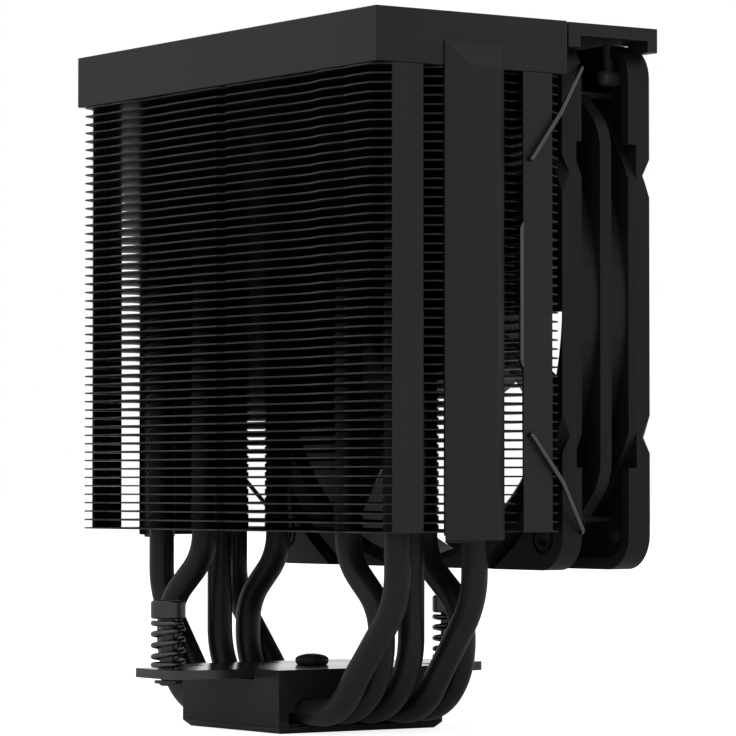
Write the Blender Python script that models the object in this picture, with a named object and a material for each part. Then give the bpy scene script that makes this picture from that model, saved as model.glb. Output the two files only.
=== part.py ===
"""A CPU tower cooler: a black fin tower on five U-shaped heat pipes, with a 120 mm fan clipped to one face.

Frame: the origin is the centre of the base's contact face, +Z is up, X runs across the tower's width,
and the fan stands on the -Y face. All sizes below are in millimetres and become metres in the meshes.
"""

from math import cos, pi, radians, sin, tan

import bmesh
import bpy
from mathutils import Vector

MM = 0.001
GAP = 0.3                      # clearance between neighbouring pieces

# --- driving dimensions -------------------------------------------------------------------------------
# Base
BASE_HALF_X = 20.5
BASE_HALF_Y = 22.6
BASE_TOP = 14.4
PLATE_THICKNESS = 1.5
PLATE_CHAMFER = 0.7
PIPE_CHANNEL_HALF = 19.2       # half width of the channel that the pipes share in the base
PIPE_CHANNEL_TOP = 8.2

# Heat pipes
PIPE_RADIUS = 3.0
PIPE_BASE_Z = 4.9
PIPE_PITCH = 7.5               # between neighbouring pipes in the base
PIPE_SIDES = 8
PIPE_TOP = 152.5
LEG_OUTER_X = 49.8
LEG_MIDDLE_X = 40.1
LEG_INNER_X = 30.4
LEG_Y = 10.5

# Mounting bar and its screws
BAR_THICKNESS = 2.1
BAR_BOTTOM = BASE_TOP - BAR_THICKNESS
BAR_HALF_LENGTH = 43.0
BAR_HALF_WIDTH = 10.0
BAR_TIP_HALF_WIDTH = 9.0
BAR_TAPER_START = 34.0
SCREW_Y = 39.2                 # spring screws stand at this distance each side of the centre
SCREW_HEAD_RADIUS = 3.95
SCREW_HEAD_LOW = 25.8
SCREW_HEAD_HIGH = 29.9
SCREW_SHANK_RADIUS = 2.0
SCREW_TIP = 10.6
SPRING_WIRE_RADIUS = 0.65
SPRING_RADIUS = 3.4
SPRING_TURNS = 4.5

# Fin stack
HALF_WIDTH = 64.1              # of the cover and of the folded fin edges
FIN_FACE_Y = 25.4
FIN_BOTTOM = 45.5
FIN_TOP = 147.6
FIN_COUNT = 17                 # each one stands for three thin fins
FIN_THICKNESS = 1.2
FIN_CORNER_X = 61.0
FIN_SIDE_X = 61.6              # the fins' side edge between the folded tabs
TAB_INNER_Y = 13.6
TAB_OUTER_Y = 21.6
TAB_THICKNESS = 0.6
TAB_NOTCH_Y = 15.9             # the front tabs are cut back to here where a clip's wire passes through
TAB_NOTCH_HALF_HEIGHT = 1.2
FIN_HOLE_SIDES = 6
FIN_HOLE_RADIUS = 3.95         # to the corners of the hexagon, whose flats clear the pipe

# Cover
COVER_HALF_Y = 25.95
COVER_BOTTOM = 147.9
COVER_TOP = 160.0
COVER_WALL = 1.4
COVER_ROOF = 2.0

# Side bars
SIDE_BAR_HALF = 8.1
SIDE_BAR_FLAT_HALF = 3.75
SIDE_BAR_FACE_X = 68.1
SIDE_BAR_BOTTOM = 44.0
SIDE_BAR_TOP = 153.6
SIDE_BAR_FACE_TOP = 148.0

# Fan
FAN_SIZE = 120.0
FAN_HALF = FAN_SIZE / 2
FAN_DEPTH = 25.0
FAN_HALF_DEPTH = FAN_DEPTH / 2
FAN_Y = -40.0                  # the fan's mid-plane
FAN_Z = 96.8                   # the fan's axis
FLANGE_THICKNESS = 4.5
FLANGE_CORNER = 8.0
SCREW_HOLE_OFFSET = 52.5       # the standard 105 mm hole spacing, halved
SCREW_HOLE_RADIUS = 2.15
BORE_RADIUS = 57.5
BARREL_RADIUS = 59.2
HUB_RADIUS = 20.0
BLADE_COUNT = 7
BLADE_TIP_RADIUS = 56.2

# Wire clips
WIRE_RADIUS = 0.55
WIRE_TIP_Y = -30.6             # the end of the wire in the fan's corner hole
WIRE_HOOK = (61.0, -32.6)      # where the wire turns in to the hole, between the fan's flanges
WIRE_OUTSIDE = (65.2, -15.2)   # where it stands outside the folded tabs
WIRE_BEHIND = (62.4, -11.95)   # where it lies deep in the groove between the tabs and the side bar
WIRE_RUN = (64.3, -12.8)       # its middle, which shows beside the tabs
WIRE_HEIGHTS = (32.8, -29.8)   # where it crosses the tabs, from the fan's axis

# Fan cap
CAP_HALF_X = 62.75
CAP_REAR_Y = -27.3
CAP_FRONT_Y = -52.7
CAP_PLATE_LOW = 157.1
CAP_LEG_LOW = 154.5

# Surface finishes: base colour, metallic and roughness
BLACK = (0.012, 0.012, 0.013)
COAT = (BLACK, 0.5, 0.42)
FIN_COAT = (BLACK, 0.85, 0.4)
PIPE_COAT = (BLACK, 0.9, 0.3)
NICKEL = ((0.02, 0.02, 0.021), 0.9, 0.3)
BAR_STEEL = ((0.06, 0.06, 0.058), 0.9, 0.25)
SCREW_STEEL = ((0.08, 0.08, 0.077), 0.95, 0.3)
SPRING_STEEL = ((0.1, 0.1, 0.095), 0.95, 0.3)
WIRE_STEEL = ((0.35, 0.35, 0.35), 1.0, 0.25)
FAN_PLASTIC = (BLACK, 0.0, 0.5)
SLEEVE = ((0.01, 0.01, 0.01), 0.0, 0.6)
RUBBER = ((0.015, 0.015, 0.015), 0.0, 0.8)
MOTOR_STEEL = ((0.3, 0.3, 0.3), 1.0, 0.4)
MAGNET = ((0.05, 0.05, 0.05), 0.2, 0.6)
BRONZE = ((0.5, 0.35, 0.15), 1.0, 0.4)
BOARD = ((0.02, 0.12, 0.05), 0.0, 0.5)
COPPER = ((0.55, 0.22, 0.08), 0.9, 0.35)


# --- helpers ------------------------------------------------------------------------------------------
def clear_scene():
    for old in list(bpy.data.objects):
        bpy.data.objects.remove(old, do_unlink=True)


def finish(name, colour, metallic, roughness):
    """A Principled material for one sub-part."""
    made = bpy.data.materials.new(name)
    made.use_nodes = True
    shader = made.node_tree.nodes["Principled BSDF"]
    shader.inputs["Base Color"].default_value = (*colour, 1.0)
    shader.inputs["Metallic"].default_value = metallic
    shader.inputs["Roughness"].default_value = roughness
    return made


def add_object(name, shape, look=None, location=(0, 0, 0), rotation=(0, 0, 0), smooth=False):
    """Turn a bmesh in millimetres into a named object in metres."""
    bmesh.ops.recalc_face_normals(shape, faces=shape.faces[:])
    bmesh.ops.scale(shape, vec=(MM, MM, MM), verts=shape.verts[:])
    mesh = bpy.data.meshes.new(name)
    shape.to_mesh(mesh)
    shape.free()
    if smooth:
        mesh.shade_smooth()
        mesh.set_sharp_from_angle(angle=radians(40))
    if look:
        mesh.materials.append(finish(name, *look))
    made = bpy.data.objects.new(name, mesh)
    made.location = Vector(location) * MM
    made.rotation_euler = rotation
    bpy.context.scene.collection.objects.link(made)
    return made


def add_cutter(name, shape, location=(0, 0, 0), rotation=(0, 0, 0)):
    """An object that only shapes another one."""
    made = add_object(name, shape, None, location, rotation)
    made.hide_render = True
    made.display_type = "WIRE"
    return made


def combine(target, tool, operation):
    change = target.modifiers.new(f"{operation.lower()} {tool.name}", "BOOLEAN")
    change.operation = operation
    change.solver = "EXACT"
    change.object = tool


def cut(target, tool):
    combine(target, tool, "DIFFERENCE")


def join(target, tool):
    combine(target, tool, "UNION")


def circle(radius, sides, centre=(0, 0), turn=0.0):
    """A closed outline of points round a centre."""
    step = 2 * pi / sides
    return [
        (centre[0] + radius * cos(turn + k * step), centre[1] + radius * sin(turn + k * step))
        for k in range(sides)
    ]


def rounded_square(half, corner, steps=3):
    """A square's outline with round corners."""
    points = []
    for quarter in range(4):
        turn = quarter * pi / 2
        middle = (half - corner) * 2 ** 0.5
        centre = (middle * cos(turn + pi / 4), middle * sin(turn + pi / 4))
        for k in range(steps + 1):
            angle = turn + k * pi / 2 / steps
            points.append((centre[0] + corner * cos(angle), centre[1] + corner * sin(angle)))
    return points


def slab(outline, low, high, holes=(), into=None):
    """A flat plate between two heights, with holes through it."""
    shape = into or bmesh.new()
    edges = []
    for loop in (outline, *holes):
        corners = [shape.verts.new((x, y, low)) for x, y in loop]
        edges += [shape.edges.new((corners[k - 1], corners[k])) for k in range(len(corners))]
    filled = bmesh.ops.triangle_fill(shape, use_beauty=True, use_dissolve=False, edges=edges)
    faces = [part for part in filled["geom"] if isinstance(part, bmesh.types.BMFace)]
    grown = bmesh.ops.extrude_face_region(shape, geom=faces)
    top = [part for part in grown["geom"] if isinstance(part, bmesh.types.BMVert)]
    bmesh.ops.translate(shape, vec=(0, 0, high - low), verts=top)
    return shape


def box(low, high, into=None):
    outline = [(low[0], low[1]), (high[0], low[1]), (high[0], high[1]), (low[0], high[1])]
    return slab(outline, low[2], high[2], into=into)


def lathe(profile, sides):
    """Turn a closed (radius, height) profile about Z. Points on the axis become one vertex."""
    shape = bmesh.new()
    rings = []
    for radius, height in profile:
        if radius < 1e-6:
            rings.append([shape.verts.new((0, 0, height))] * sides)
        else:
            rings.append([shape.verts.new((x, y, height)) for x, y in circle(radius, sides)])
    for near, far in zip(rings, rings[1:] + rings[:1]):
        for k in range(sides):
            ring = [near[k - 1], near[k], far[k], far[k - 1]]
            corners = list(dict.fromkeys(ring))
            if len(corners) > 2:
                shape.faces.new(corners)
    return shape


def rounded_path(corners, radii, step_angle=18):
    """The points of a path of straight runs, with each inner corner bent to its radius."""
    points = [Vector(corners[0])]
    for before, corner, after, radius in zip(corners, corners[1:], corners[2:], radii):
        corner = Vector(corner)
        arriving = (corner - Vector(before)).normalized()
        leaving = (Vector(after) - corner).normalized()
        angle = arriving.angle(leaving)
        inward = (leaving - arriving * arriving.dot(leaving)).normalized()
        start = corner - arriving * radius * tan(angle / 2)
        steps = max(2, round(angle / radians(step_angle)))
        for k in range(steps + 1):
            turn = angle * k / steps
            points.append(start + inward * radius * (1 - cos(turn)) + arriving * radius * sin(turn))
    points.append(Vector(corners[-1]))
    return points


def sweep(points, radius, sides):
    """A round bar along a path, with flat ends."""
    shape = bmesh.new()
    ahead = (points[1] - points[0]).normalized()
    across = ahead.orthogonal().normalized()
    rings = []
    for k, point in enumerate(points):
        tangent = (points[min(k + 1, len(points) - 1)] - points[max(k - 1, 0)]).normalized()
        across = (across - tangent * across.dot(tangent)).normalized()
        other = tangent.cross(across)
        rings.append([shape.verts.new(point + across * x + other * y) for x, y in circle(radius, sides)])
    for near, far in zip(rings, rings[1:]):
        for k in range(sides):
            shape.faces.new((near[k - 1], near[k], far[k], far[k - 1]))
    shape.faces.new(list(reversed(rings[0])))
    shape.faces.new(rings[-1])
    return shape


# --- heat pipes ---------------------------------------------------------------------------------------
def half_path(side, base_y, kind):
    """One half of a pipe, from the middle of the base to the top of its leg."""
    leg_y = LEG_Y if base_y > 0 else -LEG_Y
    start = (0, base_y, PIPE_BASE_Z)
    if kind == "middle":
        corners = [start, (LEG_MIDDLE_X, 0, PIPE_BASE_Z), (LEG_MIDDLE_X, 0, PIPE_TOP)]
        radii = [17]
    elif kind == "outer":
        corners = [start, (33.8, base_y, PIPE_BASE_Z), (39.9, base_y, 13.0)]
        corners += [(LEG_OUTER_X, leg_y, 30.0), (LEG_OUTER_X, leg_y, PIPE_TOP)]
        radii = [14, 8, 22]
    else:
        waist_y = base_y + (leg_y - base_y) * 0.25
        corners = [start, (40.1, base_y, PIPE_BASE_Z), (40.1, waist_y, 28.6)]
        corners += [(LEG_INNER_X, leg_y, 39.4), (LEG_INNER_X, leg_y, PIPE_TOP)]
        radii = [17, 13, 13]
    path = rounded_path(corners, radii)
    return [Vector((side * p.x, p.y, p.z)) for p in path]


# Which leg each pipe feeds, from the rear (+Y) pipe to the front one, on the -X and the +X side.
PIPE_LEGS = (
    ("outer", "inner"),
    ("inner", "outer"),
    ("middle", "middle"),
    ("outer", "inner"),
    ("inner", "outer"),
)


def heat_pipes():
    for k, (left, right) in enumerate(PIPE_LEGS):
        base_y = (2 - k) * PIPE_PITCH
        points = half_path(-1, base_y, left)[::-1] + half_path(1, base_y, right)[1:]
        pipe = sweep(points, PIPE_RADIUS, PIPE_SIDES)
        add_object(f"heatpipe_{k + 1}", pipe, PIPE_COAT, smooth=True)


def leg_positions():
    """The (x, y) of the ten pipe legs."""
    spots = [(-LEG_MIDDLE_X, 0), (LEG_MIDDLE_X, 0)]
    for side in (-1, 1):
        for x in (LEG_OUTER_X, LEG_INNER_X):
            spots += [(side * x, -LEG_Y), (side * x, LEG_Y)]
    return spots


# --- base ---------------------------------------------------------------------------------------------
def cold_plate():
    inner_x = BASE_HALF_X - PLATE_CHAMFER
    inner_y = BASE_HALF_Y - PLATE_CHAMFER
    shape = bmesh.new()
    sizes = ((inner_x, inner_y, 0.0), (BASE_HALF_X, BASE_HALF_Y, PLATE_CHAMFER))
    sizes += ((BASE_HALF_X, BASE_HALF_Y, PLATE_THICKNESS),)
    rings = []
    for x, y, z in sizes:
        rings.append([shape.verts.new(p) for p in ((x, y, z), (-x, y, z), (-x, -y, z), (x, -y, z))])
    for near, far in zip(rings, rings[1:]):
        for k in range(4):
            shape.faces.new((near[k - 1], near[k], far[k], far[k - 1]))
    shape.faces.new(rings[0])
    shape.faces.new(rings[-1])
    add_object("cold_plate", shape, NICKEL)


def base_block():
    low = PLATE_THICKNESS + GAP
    wall = PIPE_CHANNEL_HALF
    profile = [(-BASE_HALF_Y, low), (-wall, low), (-wall, PIPE_CHANNEL_TOP), (wall, PIPE_CHANNEL_TOP)]
    profile += [(wall, low), (BASE_HALF_Y, low), (BASE_HALF_Y, BASE_TOP), (-BASE_HALF_Y, BASE_TOP)]
    shape = slab(profile, -BASE_HALF_X, BASE_HALF_X)
    upright = (pi / 2, 0, pi / 2)
    block = add_object("base_block", shape, NICKEL, rotation=upright)
    slot_half = BAR_HALF_WIDTH + GAP
    slot_floor = BAR_BOTTOM - GAP
    reach = BASE_HALF_Y + 1
    slot = box((-slot_half, -reach, slot_floor), (slot_half, reach, BASE_TOP + 1))
    cut(block, add_cutter("bar_slot", slot))
    thread = slab(circle(2.1, 12), slot_floor - 3.2, slot_floor + 1)
    cut(block, add_cutter("bar_screw_hole", thread))


def mounting_bar():
    corners = [(BAR_HALF_WIDTH, -BAR_TAPER_START), (BAR_HALF_WIDTH, BAR_TAPER_START)]
    corners += [(BAR_TIP_HALF_WIDTH, BAR_HALF_LENGTH), (-BAR_TIP_HALF_WIDTH, BAR_HALF_LENGTH)]
    corners += [(-BAR_HALF_WIDTH, BAR_TAPER_START), (-BAR_HALF_WIDTH, -BAR_TAPER_START)]
    corners += [(-BAR_TIP_HALF_WIDTH, -BAR_HALF_LENGTH), (BAR_TIP_HALF_WIDTH, -BAR_HALF_LENGTH)]
    holes = [circle(2.4, 12, (0, y)) for y in (-SCREW_Y, SCREW_Y)]
    holes.append(circle(2.3, 12))
    add_object("mounting_bar", slab(corners, BAR_BOTTOM, BASE_TOP, holes), BAR_STEEL)


def bar_screw():
    """The round-headed screw that holds the bar down at its middle."""
    low = BASE_TOP + GAP
    head = 3.9
    profile = [(0, BAR_BOTTOM - 2.8), (1.8, BAR_BOTTOM - 2.8), (1.8, low), (3.3, low), (head, low + 1.3)]
    profile += [(head * 0.82, low + 2.3), (1.8, low + 2.6), (0, low + 2.6)]
    add_object("bar_screw", lathe(profile, 12), BAR_STEEL, smooth=True)


# --- spring screws ------------------------------------------------------------------------------------
def spring_screw(name, y):
    """A captive screw: a wide head on a plain shank, with a groove for the retaining ring."""
    groove = SCREW_SHANK_RADIUS - 0.4
    ring_low = SCREW_TIP + 0.4
    ring_high = ring_low + 1.1
    profile = [(0, SCREW_TIP), (SCREW_SHANK_RADIUS, SCREW_TIP), (SCREW_SHANK_RADIUS, ring_low)]
    profile += [(groove, ring_low), (groove, ring_high), (SCREW_SHANK_RADIUS, ring_high)]
    profile += [(SCREW_SHANK_RADIUS, SCREW_HEAD_LOW), (SCREW_HEAD_RADIUS, SCREW_HEAD_LOW)]
    socket_radius = 2.2
    socket_floor = SCREW_HEAD_HIGH - 2
    profile += [(SCREW_HEAD_RADIUS, SCREW_HEAD_HIGH), (socket_radius, SCREW_HEAD_HIGH)]
    profile += [(socket_radius, socket_floor), (0, socket_floor)]
    add_object(name, lathe(profile, 12), SCREW_STEEL, (0, y, 0), smooth=True)


def retaining_ring(name, y):
    """A C-shaped ring that snaps into the screw's groove and keeps it captive under the bar."""
    low = SCREW_TIP + 0.55
    thickness = 0.7
    mouth = radians(40)
    steps = 8
    inner = SCREW_SHANK_RADIUS - 0.25
    outer = inner + 1.35
    turns = [mouth + (2 * pi - 2 * mouth) * k / steps for k in range(steps + 1)]
    outline = [(outer * cos(turn), outer * sin(turn)) for turn in turns]
    outline += [(inner * cos(turn), inner * sin(turn)) for turn in reversed(turns)]
    add_object(name, slab(outline, low, low + thickness), BAR_STEEL, (0, y, 0))


def coil_spring(name, y):
    low = BASE_TOP + GAP + SPRING_WIRE_RADIUS
    high = SCREW_HEAD_LOW - GAP - SPRING_WIRE_RADIUS
    steps = round(SPRING_TURNS * 8)
    points = []
    for k in range(steps + 1):
        turn = 2 * pi * SPRING_TURNS * k / steps
        height = low + (high - low) * k / steps
        points.append(Vector((SPRING_RADIUS * cos(turn), SPRING_RADIUS * sin(turn), height)))
    coil = sweep(points, SPRING_WIRE_RADIUS, 5)
    add_object(name, coil, SPRING_STEEL, (0, y, 0), smooth=True)


# --- fin stack, cover and side bars -------------------------------------------------------------------
def fin_outline():
    """One fin from above: square front and back, chamfered corners, tabs proud at the sides."""
    tab_x = HALF_WIDTH - TAB_THICKNESS / 2
    inset = 0.3
    quarter = [(FIN_SIDE_X, TAB_INNER_Y + inset), (tab_x, TAB_INNER_Y + inset)]
    quarter += [(tab_x, TAB_OUTER_Y - inset), (FIN_CORNER_X, FIN_FACE_Y)]
    left_back = [(-x, y) for x, y in reversed(quarter)]
    left_front = [(-x, -y) for x, y in quarter]
    right_front = [(x, -y) for x, y in reversed(quarter)]
    return quarter + left_back + left_front + right_front


def fin_stack():
    """All fins as plates, joined into one piece by the folded tabs at both sides."""
    pitch = (FIN_TOP - FIN_BOTTOM - FIN_THICKNESS) / (FIN_COUNT - 1)
    holes = [circle(FIN_HOLE_RADIUS, FIN_HOLE_SIDES, spot) for spot in leg_positions()]
    plates = bmesh.new()
    for k in range(FIN_COUNT):
        low = FIN_BOTTOM + k * pitch
        slab(fin_outline(), low, low + FIN_THICKNESS, holes, into=plates)
    stack = add_object("fin_stack", plates, FIN_COAT)
    tabs = bmesh.new()
    low = FIN_BOTTOM + 0.2
    high = FIN_TOP - 0.2
    for side in (-1, 1):
        for end in (-1, 1):
            xs = sorted((side * (HALF_WIDTH - TAB_THICKNESS), side * HALF_WIDTH))
            ys = sorted((end * TAB_INNER_Y, end * TAB_OUTER_Y))
            box((xs[0], ys[0], low), (xs[1], ys[1], high), into=tabs)
    folded = add_cutter("folded_tabs", tabs)
    notches = bmesh.new()
    for side in (-1, 1):
        xs = sorted((side * (HALF_WIDTH - TAB_THICKNESS - 1), side * (HALF_WIDTH + 1)))
        for height in WIRE_HEIGHTS:
            middle = FAN_Z + height
            low_corner = (xs[0], -TAB_NOTCH_Y, middle - TAB_NOTCH_HALF_HEIGHT)
            high_corner = (xs[1], 1 - TAB_INNER_Y, middle + TAB_NOTCH_HALF_HEIGHT)
            box(low_corner, high_corner, into=notches)
    cut(folded, add_cutter("wire_notches", notches))
    join(stack, folded)


def top_cover():
    """A cap over the fins, open underneath to take the tips of the pipes."""
    outer = box((-HALF_WIDTH, -COVER_HALF_Y, COVER_BOTTOM), (HALF_WIDTH, COVER_HALF_Y, COVER_TOP))
    cover = add_object("top_cover", outer, COAT)
    inner_x = HALF_WIDTH - COVER_WALL
    inner_y = COVER_HALF_Y - COVER_WALL
    hollow = box((-inner_x, -inner_y, COVER_BOTTOM - 1), (inner_x, inner_y, COVER_TOP - COVER_ROOF))
    cut(cover, add_cutter("cover_hollow", hollow))


def side_bar(name, side):
    """A trim bar on the tower's side: flat face, sloping flanks, a top that slopes to the cover."""
    back = HALF_WIDTH + GAP
    shape = bmesh.new()
    plan = ((back, -SIDE_BAR_HALF), (SIDE_BAR_FACE_X, -SIDE_BAR_FLAT_HALF))
    plan += ((SIDE_BAR_FACE_X, SIDE_BAR_FLAT_HALF), (back, SIDE_BAR_HALF))
    low = [shape.verts.new((side * x, y, SIDE_BAR_BOTTOM)) for x, y in plan]
    tops = (SIDE_BAR_TOP, SIDE_BAR_FACE_TOP, SIDE_BAR_FACE_TOP, SIDE_BAR_TOP)
    high = [shape.verts.new((side * x, y, top)) for (x, y), top in zip(plan, tops)]
    for k in range(4):
        shape.faces.new((low[k - 1], low[k], high[k], high[k - 1]))
    shape.faces.new(low)
    shape.faces.new(high)
    bar = add_object(name, shape, COAT)
    xs = sorted((side * (FIN_SIDE_X + 0.5), side * (back + 1)))
    rib_half = SIDE_BAR_HALF - 1.2
    rib = box((xs[0], -rib_half, SIDE_BAR_BOTTOM + 1), (xs[1], rib_half, COVER_BOTTOM - GAP))
    join(bar, add_cutter(f"{name}_rib", rib))


# --- fan ----------------------------------------------------------------------------------------------
# The fan's pieces are modelled about local Z and turned so that local +Z points forwards, to -Y.
FAN_TURN = (pi / 2, 0, 0)
FAN_PLACE = (0, FAN_Y, FAN_Z)
HUB_PLATE_TOP = -10.2
ROTOR_LOW = -8.5
ROTOR_HIGH = 11.5


def add_fan_piece(name, shape, look, smooth=False):
    return add_object(name, shape, look, FAN_PLACE, FAN_TURN, smooth)


def add_fan_cutter(name, shape):
    return add_cutter(name, shape, FAN_PLACE, FAN_TURN)


def fan_frame():
    corners = [(x, y) for x in (-1, 1) for y in (-1, 1)]
    holes = [circle((BORE_RADIUS + BARREL_RADIUS) / 2, 36)]
    for x, y in corners:
        holes.append(circle(SCREW_HOLE_RADIUS, 8, (x * SCREW_HOLE_OFFSET, y * SCREW_HOLE_OFFSET), pi / 8))
    outline = rounded_square(FAN_HALF, FLANGE_CORNER)
    flanges = slab(outline, -FAN_HALF_DEPTH, -FAN_HALF_DEPTH + FLANGE_THICKNESS, holes)
    slab(outline, FAN_HALF_DEPTH - FLANGE_THICKNESS, FAN_HALF_DEPTH, holes, into=flanges)
    frame = add_fan_piece("fan_frame", flanges, FAN_PLASTIC)
    reach = FAN_HALF_DEPTH - 0.2
    wall = [(BORE_RADIUS, -reach), (BARREL_RADIUS, -reach), (BARREL_RADIUS, reach), (BORE_RADIUS, reach)]
    join(frame, add_fan_cutter("fan_barrel", lathe(wall, 36)))
    join(frame, add_fan_cutter("fan_struts", struts()))
    join(frame, add_fan_cutter("fan_hub_plate", hub_plate()))
    notch = box((BORE_RADIUS - 2.5, 2.2, -14), (FAN_HALF + 1, 5.8, -7.0))
    cut(frame, add_fan_cutter("cable_notch", notch))


def struts():
    """Four arms that carry the motor plate on the tower side of the fan."""
    shape = bmesh.new()
    half = 1.6
    inner = 17.5
    outer = (BORE_RADIUS + BARREL_RADIUS) / 2
    for k in range(4):
        turn = k * pi / 2
        ends = [(inner, -half), (outer, -half), (outer, half), (inner, half)]
        arm = [(x * cos(turn) - y * sin(turn), x * sin(turn) + y * cos(turn)) for x, y in ends]
        slab(arm, -12.1, -9.2, into=shape)
    return shape


def hub_plate():
    """The motor plate with the tube that holds the bearing."""
    tube_out = 4.6
    tube_in = 3.4
    profile = [(0, -12.2), (19.5, -12.2), (19.5, HUB_PLATE_TOP), (tube_out, HUB_PLATE_TOP)]
    profile += [(tube_out, 4.0), (tube_in, 4.0), (tube_in, HUB_PLATE_TOP + 0.1), (0, HUB_PLATE_TOP + 0.1)]
    return lathe(profile, 24)


# Radius, chord angle in degrees, and the heights of the trailing and leading edges.
BLADE_SECTIONS = ((19.1, 44, -7.5, 8.0), (38.0, 36, -7.8, 8.6), (BLADE_TIP_RADIUS, 34, -6.0, 8.0))


def blade(shape, turn):
    """One blade, as sections from the hub wall to the tip that lie on cylinders about the axis."""
    steps = 3
    sections = []
    for radius, chord_angle, low, high in BLADE_SECTIONS:
        front = []
        back = []
        lean = radians(10) * (radius - 19.1) / (BLADE_TIP_RADIUS - 19.1)
        for k in range(steps + 1):
            share = k / steps
            angle = turn + lean + radians(chord_angle) * (share - 0.5)
            bow = 1.6 * sin(pi * share)
            height = low + (high - low) * share + bow
            half = 0.75 if 0 < k < steps else 0.45
            front.append(shape.verts.new((radius * cos(angle), radius * sin(angle), height + half)))
            back.append(shape.verts.new((radius * cos(angle), radius * sin(angle), height - half)))
        sections.append(front + back[::-1])
    for near, far in zip(sections, sections[1:]):
        for k in range(len(near)):
            shape.faces.new((near[k - 1], near[k], far[k], far[k - 1]))
    last = 2 * steps + 1
    for section in (sections[0], sections[-1]):
        for k in range(steps):
            shape.faces.new((section[k], section[k + 1], section[last - k - 1], section[last - k]))


def fan_rotor():
    wall = 1.8
    profile = [(HUB_RADIUS - wall, ROTOR_LOW), (HUB_RADIUS, ROTOR_LOW), (HUB_RADIUS, ROTOR_HIGH - 1)]
    profile += [(HUB_RADIUS - 1, ROTOR_HIGH), (0, ROTOR_HIGH), (0, ROTOR_HIGH - 2)]
    profile += [(HUB_RADIUS - wall, ROTOR_HIGH - 2)]
    rotor = add_fan_piece("fan_rotor", lathe(profile, 28), FAN_PLASTIC, smooth=True)
    blades = bmesh.new()
    for k in range(BLADE_COUNT):
        blade(blades, 2 * pi * k / BLADE_COUNT)
    join(rotor, add_fan_cutter("fan_blades", blades))


def ring(low, high, inner, outer, sides=24):
    return lathe([(inner, low), (outer, low), (outer, high), (inner, high)], sides)


def motor():
    """What turns the rotor: yoke, magnet, shaft, bearing, stator, coils and circuit board."""
    add_fan_piece("rotor_yoke", ring(ROTOR_LOW, 8.8, 16.9, 17.8), MOTOR_STEEL, smooth=True)
    add_fan_piece("magnet_ring", ring(ROTOR_LOW + 0.5, 7.5, 14.7, 16.5), MAGNET, smooth=True)
    shaft_low = -9.8
    shaft_high = ROTOR_HIGH - 2.3
    shaft = lathe([(0, shaft_low), (1.5, shaft_low), (1.5, shaft_high), (0, shaft_high)], 12)
    add_fan_piece("rotor_shaft", shaft, MOTOR_STEEL, smooth=True)
    add_fan_piece("bearing_sleeve", ring(-8.6, 3.8, 1.9, 3.1, 12), BRONZE, smooth=True)
    add_fan_piece("shaft_ring", ring(-9.6, -8.9, 1.8, 2.8, 12), MOTOR_STEEL, smooth=True)
    board = slab(circle(14.0, 20), -9.7, -8.7, [circle(4.9, 12)])
    add_fan_piece("circuit_board", board, BOARD)
    add_fan_piece("stator_core", stator_core(), MOTOR_STEEL)
    for k in range(4):
        add_fan_piece(f"stator_coil_{k + 1}", stator_coil(k * pi / 2), COPPER)


def stator_core():
    """A four-pole star of steel round the bearing tube."""
    half_pole = [(6.7, -1.5), (11.6, -1.5), (12.3, -6.3)]
    pole = half_pole + [(13.8, 0)] + [(x, -y) for x, y in reversed(half_pole)]
    outline = []
    for k in range(4):
        turn = k * pi / 2
        outline += [(x * cos(turn) - y * sin(turn), x * sin(turn) + y * cos(turn)) for x, y in pole]
    return slab(outline, -4.0, 4.0, [circle(5.0, 12)])


def stator_coil(turn):
    """A winding round one pole's neck."""
    shape = bmesh.new()
    rings = []
    for x in (7.4, 11.0):
        for half_y, half_z in ((3.2, 6.2), (1.9, 4.4)):
            corners = ((half_y, half_z), (-half_y, half_z), (-half_y, -half_z), (half_y, -half_z))
            turned = [(x * cos(turn) - y * sin(turn), x * sin(turn) + y * cos(turn), z) for y, z in corners]
            rings.append([shape.verts.new(point) for point in turned])
    outer_near, inner_near, outer_far, inner_far = rings
    walls = ((outer_near, outer_far), (outer_far, inner_far))
    walls += ((inner_far, inner_near), (inner_near, outer_near))
    for one, two in walls:
        for k in range(4):
            shape.faces.new((one[k - 1], one[k], two[k], two[k - 1]))
    return shape


def fan_cable():
    """The lead runs beside a strut, over the frame's edge, and down between the flanges to its plug."""
    corners = [(20.5, 4.0, -10.6), (61.6, 4.0, -10.6), (61.6, 4.0, 0.0), (61.6, -14.0, 0.0)]
    corners += [(56.5, -30.0, 0.0), (56.5, -38.0, 0.0)]
    path = rounded_path(corners, [1.8, 3.0, 6.0, 6.0], 30)
    add_fan_piece("fan_cable", sweep(path, 1.15, 6), SLEEVE, smooth=True)
    plug = box((53.5, -44.0, -3.5), (58.8, -38.4, 3.5))
    add_fan_piece("cable_plug", plug, FAN_PLASTIC)


def fan_plugs():
    """Rubber plugs in the two lower holes of the front flange."""
    stem = 1.65
    inner = FAN_HALF_DEPTH - FLANGE_THICKNESS
    outer = FAN_HALF_DEPTH - 0.2
    profile = [(0, inner - 2.5), (1.6, inner - 2.5), (2.6, inner - GAP), (stem, inner - GAP)]
    profile += [(stem, outer), (0, outer)]
    for name, side in (("fan_plug_left", -1), ("fan_plug_right", 1)):
        place = (side * SCREW_HOLE_OFFSET, FAN_Y, FAN_Z - SCREW_HOLE_OFFSET)
        add_object(name, lathe(profile, 10), RUBBER, place, FAN_TURN, smooth=True)


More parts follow.
